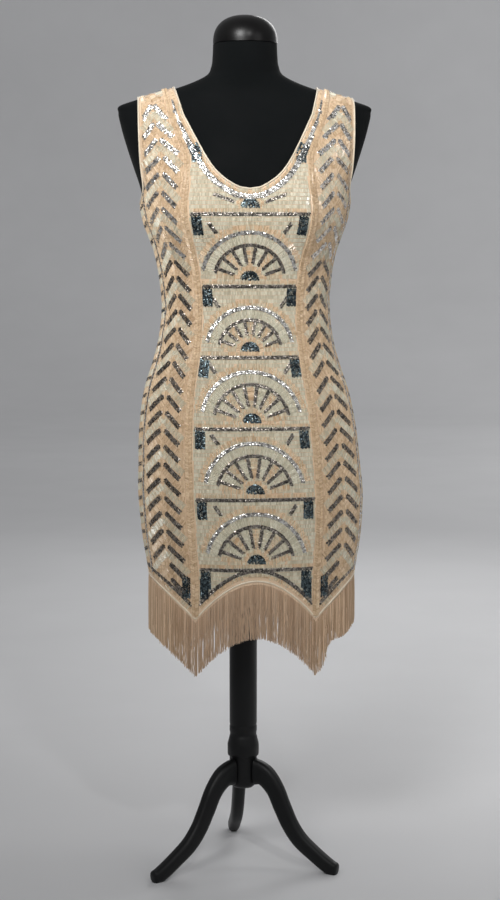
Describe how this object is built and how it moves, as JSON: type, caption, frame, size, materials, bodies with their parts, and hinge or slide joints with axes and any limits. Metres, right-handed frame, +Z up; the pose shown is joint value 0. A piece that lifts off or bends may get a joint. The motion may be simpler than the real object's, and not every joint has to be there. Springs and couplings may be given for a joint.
{
  "type": "flapper dress on dress form",
  "caption": "Sleeveless beaded shift dress with an arched, fringed hem, worn by a limbless torso on a turned post with curved legs.",
  "frame": {"origin": "on the floor, under the middle of the object's bounding box", "axes": "+Z up from the feet to the neck cap, -Y out of the dress's front, +X to the right of someone who looks at the front"},
  "size_m": [0.383, 0.2878, 1.303],
  "materials": {
    "net": "fine peach net under beadwork",
    "binding": "cream satin binding",
    "beads": "glossy bugle beads and sequins",
    "fringe": "smooth twisted rayon threads",
    "jersey": "matte stretch jersey",
    "cap": "satin",
    "wood": "black paint, satin"
  },
  "bodies": {
    "root": {"dress_front": "net", "dress_back": "net", "neck_binding": "binding", "armhole_binding_left": "binding", "armhole_binding_right": "binding", "hem_piping_front": "binding", "hem_piping_back": "binding", "fringe_front": "fringe", "fringe_back": "fringe", "rib_front_left": "beads", "rib_front_right": "beads", "rib_back_left": "beads", "rib_back_right": "beads", "dress_form": "jersey", "neck_cap": "cap", "post_flange": "wood", "post": "wood", "leg_1": "wood", "leg_2": "wood", "leg_3": "wood"}
  },
  "joints": []
}
